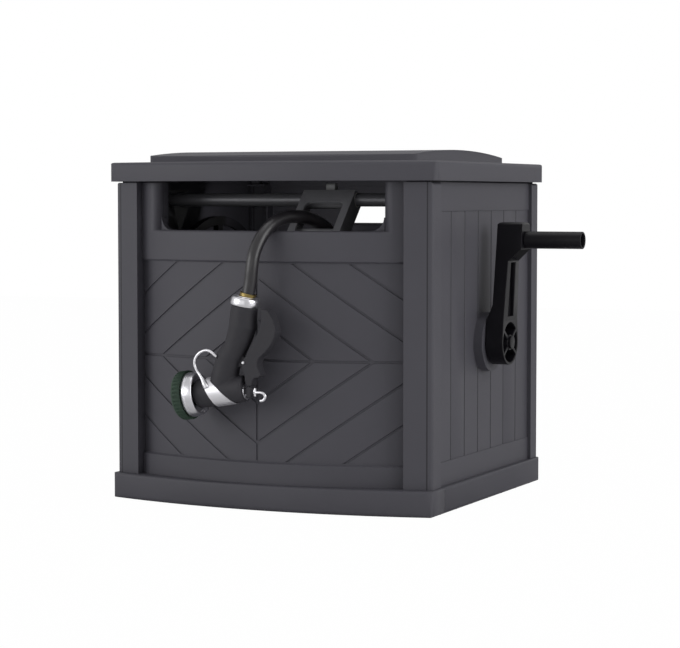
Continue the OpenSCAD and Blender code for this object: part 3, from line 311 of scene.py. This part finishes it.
guide_slope = Matrix.Translation((0.068, -0.150, 0.507)) @ Matrix.Rotation(radians(-133.83), 4, "X")
top_bar_edge = -0.0115
top_bar_lift = 0.005
window_half = 0.0345
window_low, window_high = 0.018, 0.093
window_corner_r = 0.009
guide = finished(cad_copy("guide_frame"), slate)
moulded = flat_faced(guide)
lying = guide_slope.inverted()
top_bar = [v for v in moulded.verts if (lying @ v.co).y < top_bar_edge]
bmesh.ops.translate(moulded, verts=top_bar, vec=guide_slope.to_3x3() @ Vector((0, top_bar_lift, 0)))
window = []
for e in moulded.edges:
    one, two = (lying @ v.co for v in e.verts)
    on_corner = abs(abs(one.x) - window_half) < 0.0006 and window_low < one.y < window_high
    if on_corner and (one - two).xy.length < 0.0005:
        window.append(e)
bmesh.ops.bevel(
    moulded, geom=window, offset=window_corner_r, offset_type="OFFSET", segments=6, profile=0.5,
    affect="EDGES", material=-1)
moulded.to_mesh(guide.data)
moulded.free()
round_off(guide, 0.0008)
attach(guide, "guide")

tube = Finish("painted_tube", paint(104, 104, 108), 0.35, metallic=0.3)
tube.set("Roughness", 0.28 + 0.2 * tube.noise(25, 3))
dressed(["guide_rod_upper", "guide_rod_lower"], tube, "cabinet")

pale_plastic = Finish("bush_plastic", paint(212, 209, 198), 0.45, Subsurface_Weight=0.1)
pale_plastic.set("Roughness", 0.4 + 0.15 * pale_plastic.noise(80, 3))
dressed(["axle_bush"], pale_plastic, "cabinet")
dressed(["guide_bushes"], pale_plastic, "guide")

grey = Finish("grey_plastic", paint(150, 150, 152), 0.5)
grey.relief(grey.noise(1400, 2), 0.0001, edge=0.0006)
dressed(["guide_tab"], grey, "guide", edge=0.0015)

# Reel and crank
# Glossy black mouldings on a zinc plated shaft. The arm's head is broad, with a well rounded top, and its
# bent outer face is sunk between two ribs.
dressed(["drum_barrel", "feed_elbow"], dark, "reel")
black = Finish("black_plastic", paint(16, 15, 19), 0.35, Specular_IOR_Level=0.2)
black_cloud = black.noise(18, 3)
black.set("Roughness", 0.28 + 0.16 * black_cloud)
black.set("Base Color", black.blend(black_cloud, paint(12, 11, 15), paint(22, 21, 26)))
black.relief(black.noise(1100, 2), 0.00008, edge=0.0012)
dressed(["reel_flange_left", "reel_flange_right"], black, "reel")

arm_middle = Matrix.Translation((0, -0.002, 0))
head_from_z = 0.34
head_spread = 1.2
head_top_z = 0.452
head_lift = 0.0095
crest_z = 0.460
crest_r = 0.0095
rib_width = 0.004
rib_height = 0.014
channel_narrowing = 0.6
arm = finished(cad_copy("crank_arm"), black)
moulded = flat_faced(arm)
head = [v for v in moulded.verts if v.co.z > head_from_z]
bmesh.ops.scale(moulded, verts=head, vec=(1, head_spread, 1), space=arm_middle)
bmesh.ops.translate(moulded, verts=[v for v in head if v.co.z > head_top_z], vec=(0, 0, head_lift))
crest = []
for e in moulded.edges:
    one, two = (v.co for v in e.verts)
    if min(one.z, two.z) > crest_z and abs(one.y - two.y) < 0.001 and e.calc_length() > 0.02:
        crest.append(e)
bmesh.ops.bevel(
    moulded, geom=crest, offset=crest_r, offset_type="OFFSET", segments=2, profile=0.5, affect="EDGES",
    material=-1)
bent = [f for f in moulded.faces if f.normal.x > 0.5 and f.normal.z < -0.5 and f.calc_area() > 0.001]
bmesh.ops.inset_region(moulded, faces=bent, thickness=rib_width, depth=-rib_height, use_even_offset=True)
channel = list({v for f in bent for v in f.verts})
bmesh.ops.scale(moulded, verts=channel, vec=(1, channel_narrowing, 1), space=arm_middle)
moulded.to_mesh(arm.data)
moulded.free()
round_off(arm, 0.0013)
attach(arm, "reel")
dressed(["crank_screw"], black, "reel", edge=0.0006)
dressed(["crank_grip"], black, "grip", edge=0.0012)

zinc = Finish("zinc_plate", paint(178, 180, 184), 0.3, metallic=1.0)
zinc.set("Roughness", 0.24 + 0.22 * zinc.noise(120, 4))
dressed(["crank_shaft", "grip_spindle"], zinc, "reel")
dressed(["hinge_pins", "panel_screws"], zinc, "cabinet")

seal = Finish("seal_rubber", paint(20, 20, 20), 0.6)
dressed(["inlet_o_rings"], seal, "cabinet")

# Free hose
# A length of 21 mm black rubber garden hose. It comes up from under the reel, over the guide's bar and
# the slot's sill, and hangs down the front to the nozzle.
hose_d = 0.021
hose_line = [
    (108, 79, 134), (107, 55, 122), (106, 29, 115), (105, 2, 113), (104, -25, 115),
    (103, -51, 122), (102, -75, 134), (101, -97, 150), (101, -117, 169), (100, -132, 191),
    (100, -143, 215), (100, -150, 241), (100, -152, 267), (100, -152, 300), (99, -152, 330),
    (97.5, -152, 360), (95.5, -152.2, 388), (92.5, -154.4, 409.5), (88, -159.8, 428), (82.3, -168.4, 444),
    (75.3, -180.4, 457.7), (67, -194.6, 468.5), (59, -211.4, 475.8), (52, -229, 479.5), (45, -246.5, 480),
    (38, -261.4, 478.7), (31, -278.7, 473.7), (26, -294.6, 465.3), (21.5, -308.4, 453.7),
    (17.5, -319.4, 439.6), (14, -327.3, 423.4), (12.2, -331.2, 408.9), (10.9, -332.5, 394), (9, -332, 378),
    (5.6, -332, 360), (4.6, -332, 355),
]
hose_line = [Vector(p) / 1000 for p in hose_line]


def round_bar(name, strands, kind="BEZIER", along=6, around=6):
    """A round bar or hose laid along strands of points, each with its radius there, in metres."""
    run = bpy.data.curves.new(name, "CURVE")
    run.dimensions = "3D"
    run.bevel_depth = 1
    run.bevel_resolution = around
    run.resolution_u = along
    run.use_fill_caps = True
    for strand in strands:
        line = run.splines.new(kind)
        curved = kind == "BEZIER"
        knots = line.bezier_points if curved else line.points
        knots.add(len(strand) - 1)
        for knot, (point, radius) in zip(knots, strand):
            knot.co = point if curved else (*point, 1)
            knot.radius = radius
            if curved:
                knot.handle_left_type = knot.handle_right_type = "AUTO"
    bar = bpy.data.objects.new(name, run)
    bpy.context.collection.objects.link(bar)
    return bar


hose = round_bar("hose", [[(point, hose_d / 2) for point in hose_line]])
black_rubber = Finish("hose_rubber", paint(34, 32, 35), 0.34, Coat_Weight=0.3, Coat_Roughness=0.24)
scuff = black_rubber.noise(60, 4, 0.6)
black_rubber.set("Roughness", 0.30 + 0.16 * scuff)
black_rubber.set("Base Color", black_rubber.blend(scuff, paint(26, 24, 27), paint(42, 40, 44)))
black_rubber.relief(black_rubber.noise(900, 2), 0.00006)
finished(hose, black_rubber)
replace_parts(hose, "free_hose")
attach(hose, "guide")

# Hose on the reel
# The rest of the same hose, one layer of 17.75 turns round the drum, straight where it leaves its
# coupling and where it ends.
axle = Vector((0, 0.002, 0.267))
wind_start_x = -0.21
wind_r = 0.12839
wind_pitch = 0.0226
wind_turns = 17.75
wind_steps = 60
end_angle = 320
start_angle = end_angle + 360 * wind_turns
lay = []
for i in range(int(wind_turns * wind_steps) + 1):
    turn = radians(start_angle - i * 360 / wind_steps)
    across = wind_start_x + wind_pitch * i / wind_steps
    lay.append(axle + Vector((across, wind_r * cos(turn), wind_r * sin(turn))))
start_way, end_way = radians(start_angle + 90), radians(end_angle - 90)
lay.insert(0, lay[0] + hose_d * Vector((0, cos(start_way), sin(start_way))))
lay.append(lay[-1] + hose_d * Vector((0, cos(end_way), sin(end_way))))
winding = round_bar("wound_hose", [[(point, hose_d / 2) for point in lay]], kind="POLY", around=4)
finished(winding, black_rubber)
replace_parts(winding, "hose_winding")
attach(winding, "reel")

# Nozzle body
# The grip and the barrel are one zinc casting under a coat of soft black rubber, so they run into each
# other without a seam. A lug on it carries the trigger, and a tab at the barrel's end the lock.
nozzle_y = -0.332
barrel_at = Vector((-0.0752, nozzle_y, 0.1932))
barrel_way = Vector((cos(radians(8)), 0, sin(radians(8))))
barrel_len = 0.076


def turned(at, way):
    """The place of a turned piece: its axis stands at a point and runs along a direction."""
    return Matrix.Translation(at) @ way.to_track_quat("Z", "Y").to_matrix().to_4x4()


def shown(name, shape, *nodes):
    """A new piece from a bmesh, which stands for the CAD nodes named."""
    mesh = bpy.data.meshes.new(name)
    bmesh.ops.recalc_face_normals(shape, faces=shape.faces)
    shape.to_mesh(mesh)
    shape.free()
    mesh.shade_smooth()
    piece = bpy.data.objects.new(name, mesh)
    bpy.context.collection.objects.link(piece)
    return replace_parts(piece, *nodes)


def loft(shape, rings):
    """Skin over round sections: the centre, direction and radius of each."""
    hoops = []
    for centre, way, radius in rings:
        made = bmesh.ops.create_circle(shape, segments=48, radius=radius, matrix=turned(centre, way))
        hoops.append(list({edge for vert in made["verts"] for edge in vert.link_edges}))
    for near, away in zip(hoops, hoops[1:]):
        bmesh.ops.bridge_loops(shape, edges=near + away)
    for end in (hoops[0], hoops[-1]):
        bmesh.ops.holes_fill(shape, edges=end)


def slab(shape, outline, y, thick):
    """A flat piece cut to an outline in X and Z, in millimetres, and as thick as given about y."""
    rim = [shape.verts.new((x / 1000, y - thick / 2, z / 1000)) for x, z in outline]
    pushed = bmesh.ops.extrude_face_region(shape, geom=[shape.faces.new(rim)])
    moved = [part for part in pushed["geom"] if isinstance(part, bmesh.types.BMVert)]
    bmesh.ops.translate(shape, verts=moved, vec=(0, thick, 0))


def cast(piece, cell, rounds):
    """The parts of a casting run together and its edges are rounded."""
    melt = piece.modifiers.new("melt", "REMESH")
    melt.mode = "VOXEL"
    melt.voxel_size = cell
    melt.use_smooth_shade = True
    soften = piece.modifiers.new("soften", "SMOOTH")
    soften.factor = 0.5
    soften.iterations = rounds


grip_line = [
    (-1.4, 336.8), (-3.6, 324.3), (-5, 304), (-11, 286), (-18.6, 268), (-29, 254), (-34, 238), (-38, 222),
    (-42, 209), (-45, 198),
]
grip_line = [Vector((x / 1000, nozzle_y, z / 1000)) for x, z in grip_line]
grip_radii = [0.0213, 0.0220, 0.0228, 0.0213, 0.0197, 0.0216, 0.0216, 0.0222, 0.0214, 0.0192]
sections = []
for i, (centre, radius) in enumerate(zip(grip_line, grip_radii)):
    ahead, behind = grip_line[min(i + 1, len(grip_line) - 1)], grip_line[max(i - 1, 0)]
    sections.append((centre, (ahead - behind).normalized(), radius))
throat = [(-0.015, 0.0178), (0.003, 0.0178)]
barrel = [
    (-0.0095, 0.0230), (-0.0080, 0.0237), (0, 0.0237), (0.0380, 0.02256), (0.0725, 0.0215), (0.0750, 0.0206),
    (barrel_len, 0.0196),
]
trigger_lug = [(-24, 262), (-4, 256), (4, 252), (7, 247), (5, 241), (0, 239), (-24, 236)]
tail_tab = [(-6, 195), (28, 195), (28, 205), (-6, 205)]
lock_boss = [(6.4, 189.5), (15.5, 189.5), (15.5, 206.8), (6.4, 206.8)]
casting = bmesh.new()
loft(casting, sections)
for stretch in (throat, barrel):
    loft(casting, [(barrel_at + along * barrel_way, barrel_way, radius) for along, radius in stretch])
slab(casting, trigger_lug, nozzle_y, 0.008)
slab(casting, tail_tab, nozzle_y - 0.007, 0.008)
slab(casting, lock_boss, nozzle_y - 0.009, 0.008)
body = shown("nozzle_body", casting, "nozzle_grip", "nozzle_barrel")
cast(body, 0.0011, 6)

soft = Finish("soft_grip", paint(50, 49, 53), 0.6, Specular_IOR_Level=0.35)
handled = soft.noise(45, 4, 0.6)
soft.set("Base Color", soft.blend(handled, paint(42, 41, 46), paint(56, 55, 60)))
soft.set("Roughness", 0.5 + 0.22 * handled)
soft.relief(soft.noise(1300, 2), 0.0001)
finished(body, soft)
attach(body, "guide")

# Trigger
# A moulded lever behind the grip, forked where it straddles the casting's lug. A web joins its two cheeks,
# all over the handle and only behind the lug below that.
lever_line = [
    (30, 333), (37, 332.5), (44, 330), (50.5, 322), (55, 312), (57.4, 304), (58, 296), (56, 287), (52, 279),
    (46, 270.5), (38, 262), (31.5, 256.5), (28, 253), (25.6, 247), (25, 241), (28, 233.5), (32, 227),
    (29, 223.2), (24, 222), (19.5, 221), (16.5, 217), (15, 208.5), (5.6, 208.5), (3.6, 216), (2.8, 226),
    (-0.6, 232), (-2.4, 240), (-2.6, 246), (1.5, 252), (8.2, 258.6), (12, 266), (19, 280), (26, 294),
    (30, 303), (32, 310), (33, 322),
]
handle_foot_z = 0.264
web_front_x = 0.010
moulding = bmesh.new()
for side in (-1, 1):
    slab(moulding, lever_line, nozzle_y + side * 0.0077, 0.0066)
handle_cuts = [((0, 0, handle_foot_z), (0, 0, -1))]
fork_cuts = [((0, 0, handle_foot_z), (0, 0, 1)), ((web_front_x, 0, 0), (-1, 0, 0))]
for cuts in (handle_cuts, fork_cuts):
    web = bmesh.new()
    slab(web, lever_line, nozzle_y, 0.0090)
    for spot, waste in cuts:
        everything = web.verts[:] + web.edges[:] + web.faces[:]
        cut = bmesh.ops.bisect_plane(web, geom=everything, plane_co=spot, plane_no=waste, clear_outer=True)
        edges = [part for part in cut["geom_cut"] if isinstance(part, bmesh.types.BMEdge)]
        bmesh.ops.holes_fill(web, edges=edges)
    part = bpy.data.meshes.new("web")
    web.to_mesh(part)
    web.free()
    moulding.from_mesh(part)
    bpy.data.meshes.remove(part)
lever = shown("trigger_lever", moulding, "nozzle_trigger")
cast(lever, 0.0009, 8)
finished(lever, soft)
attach(lever, "trigger")

# Chrome fittings of the nozzle
# Plated brass and steel: the collar that turns on the grip, the bezel of the head, the strap with its
# hook, the trigger's pin, the packing nut and the wire that locks the trigger.
chrome = Finish("chrome_plate", paint(226, 225, 229), 0.2, metallic=1.0)
water_marks = chrome.noise(90, 4)
chrome.set("Roughness", 0.24 + 0.12 * water_marks)
chrome.set("Base Color", chrome.blend(water_marks, paint(232, 231, 235), paint(214, 213, 218)))


def turning(name, profile, at, way, finish, body, node, bevel, steps=96):
    """A turned piece: its profile, as radius and height in millimetres, spun about its axis."""
    lathe = bmesh.new()
    line = [lathe.verts.new((radius / 1000, 0, height / 1000)) for radius, height in profile]
    edges = [lathe.edges.new(pair) for pair in zip(line, line[1:] + line[:1])]
    bmesh.ops.spin(
        lathe, geom=line + edges, cent=(0, 0, 0), axis=(0, 0, 1), angle=2 * pi, steps=steps, use_merge=True)
    bmesh.ops.remove_doubles(lathe, verts=lathe.verts, dist=0.000005)
    bmesh.ops.transform(lathe, matrix=turned(at, way), verts=lathe.verts)
    piece = finished(shown(name, lathe, node), finish)
    round_off(piece, bevel)
    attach(piece, body)
    return piece


def bent_wire(name, strands, body, node):
    """Chromed round wire bent along points, each with the wire's radius there, all in millimetres."""
    bars = []
    for strand in strands:
        bars.append([(Vector((x, y, z)) / 1000, radius / 1000) for x, y, z, radius in strand])
    wire = finished(round_bar(name, bars, along=8), chrome)
    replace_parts(wire, node)
    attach(wire, body)


collar_way = Vector((sin(radians(11)), 0, cos(radians(11))))
collar_profile = [
    (0.01, -11), (22.3, -11), (23.3, -10.6), (23.9, -9), (23.8, -6), (23.3, -2), (22.7, 1), (21.8, 2.6),
    (20.4, 3.5), (17, 3.8), (16.2, 4.6), (15.4, 4.8), (0.01, 4.8),
]
collar = turning(
    "collar_turned", collar_profile, (0, nozzle_y, 0.348), collar_way, chrome, "guide",
    "swivel_collar", bevel=0.0004)

bezel_profile = [
    (18.06, 16), (30.4, 16), (31, 15), (31, 8.2), (31.8, 7.4), (33.2, 7.5), (34.4, 8.6), (35.2, 11),
    (35.2, 19.4), (36.6, 20.6), (36.6, 24.4), (36.2, 25.2), (34.6, 26.6), (34.5, 34), (31.5, 34),
    (31.5, 19.5), (18.06, 19),
]
turning(
    "bezel_turned", bezel_profile, barrel_at, -barrel_way, chrome, "nozzle_head",
    "nozzle_bezel", bevel=0.0005)

pin_profile = [(0.01, -13.7), (1.6, -13.7), (2.5, -12.8), (2.5, 12.8), (1.6, 13.7), (0.01, 13.7)]
turning(
    "pin_turned", pin_profile, (0.001, nozzle_y, 0.246), Vector((0, 1, 0)), chrome, "guide",
    "trigger_pin", bevel=0.0002, steps=48)

nut_profile = [
    (0.01, -2), (13, -2), (13, 1.2), (12.4, 1.7), (8, 1.7), (8, 4.0), (7.2, 4.6), (3, 4.6), (2.6, 3.4),
    (0.01, 3.4),
]
nut_at = barrel_at + barrel_len * barrel_way - Vector((0, 0, 0.0055))
turning(
    "nut_turned", nut_profile, nut_at, barrel_way, chrome, "guide", "packing_nut", bevel=0.0003)

bent_wire("hook_wire", [[
    (-61.2, -353, 204.8, 5.6), (-63.4, -353.6, 209.5, 5.0), (-67.3, -353, 216.5, 3.6),
    (-71.4, -351.6, 221.6, 3.0), (-75.4, -350.5, 226.2, 2.7), (-79.6, -350, 231, 2.6),
    (-82.6, -350, 236.5, 2.5), (-84, -350, 243, 2.5), (-82.2, -350, 251, 2.5), (-77.2, -350, 257.8, 2.5),
    (-70.2, -350, 262.4, 2.5), (-62.2, -350, 264.4, 2.5), (-54.2, -350, 262.2, 2.5),
    (-46.2, -350, 256.5, 2.4), (-43.7, -350, 254.5, 2.0),
]], "guide", "nozzle_hook")

lock_bail = [
    (24, -347, 198.6, 2.2), (28, -347, 199.2, 2.4), (33, -347, 199.4, 2.4), (37.5, -347, 198.6, 2.4),
    (41.2, -347, 196, 2.4), (42.2, -347, 192, 2.4), (40.4, -347, 188.4, 2.4), (37, -347, 186.4, 2.4),
    (33.6, -347, 186, 2.2),
]
lock_plate = [(24.6, -347, 206, 1.8), (23.6, -347, 200, 2.6), (24.6, -347, 193, 1.8)]
lock_pivot = [(24, -348.4, 200, 2.2), (24, -340, 200, 2), (24, -332.2, 200, 2)]
bent_wire("lock_wire", [lock_bail, lock_plate, lock_pivot], "trigger_lock", "trigger_clip")

brushed = Finish("brushed_chrome", paint(236, 235, 239), 0.45, metallic=1.0)
brushed.set("Roughness", 0.4 + 0.12 * brushed.noise(120, 4))
barrel_r, barrel_taper = 0.0237, 0.0303
strap_r, strap_taper = 0.0234, 0.0842
strap_shift = 0.005
strap = finished(cad_copy("nozzle_strap", 35), brushed)
for v in strap.data.vertices:
    along = (v.co - barrel_at).dot(barrel_way)
    out = v.co - barrel_at - along * barrel_way
    pushed_to = along + strap_shift
    spread = (barrel_r - barrel_taper * pushed_to) - (strap_r - strap_taper * along)
    v.co = barrel_at + pushed_to * barrel_way + out * (1 + spread / out.length)
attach(strap, "guide")

# Brass
# The hose's crimped ferrule, dulled by use, the inlet's stem with its lock nut, and the coupling on the
# drum, all turned from bar.
brass = Finish("turned_brass", paint(214, 176, 104), 0.25, metallic=1.0)
tarnish = brass.noise(150, 4)
brass.set("Roughness", 0.2 + 0.2 * tarnish)
brass.set("Base Color", brass.blend(tarnish, paint(222, 186, 112), paint(196, 154, 86)))
dressed(["water_inlet", "inlet_nut"], brass, "cabinet")
dressed(["hose_coupling"], brass, "reel")

aged_brass = Finish("aged_brass", paint(150, 132, 82), 0.3, metallic=1.0)
aged_brass.set("Roughness", 0.24 + 0.2 * aged_brass.noise(150, 4))
hose_way = Vector((sin(radians(15)), 0, cos(radians(15))))
ferrule_profile = [
    (0.01, -9), (14, -9), (14.6, -5.6), (14.2, -5), (13, -4.6), (13, -1.6), (13.8, -1.2), (13.8, -0.2),
    (13.2, 0.3), (0.01, 0.3),
]
ferrule = turning(
    "ferrule_turned", ferrule_profile, (0.0048, nozzle_y, 0.3572), hose_way, aged_brass, "guide",
    "hose_ferrule", bevel=0.0002)

# Spray head
# A ribbed green rubber bumper stretched over the chrome bezel, round a dark moulded spray face.
green = Finish("green_rubber", paint(38, 60, 46), 0.6)
green_cloud = green.noise(90, 3)
green.set("Roughness", 0.55 + 0.2 * green_cloud)
green.set("Base Color", green.blend(green_cloud, paint(33, 54, 41), paint(45, 68, 53)))
bumper_rear = -0.0245
bumper_gap = 0.003
bumper = finished(cad_copy("nozzle_bumper", 35), green)
for v in bumper.data.vertices:
    if (v.co - barrel_at).dot(barrel_way) > bumper_rear:
        v.co -= bumper_gap * barrel_way
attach(bumper, "nozzle_head")
face = finished(cad_copy("spray_face", 35), dark)
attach(face, "nozzle_head")
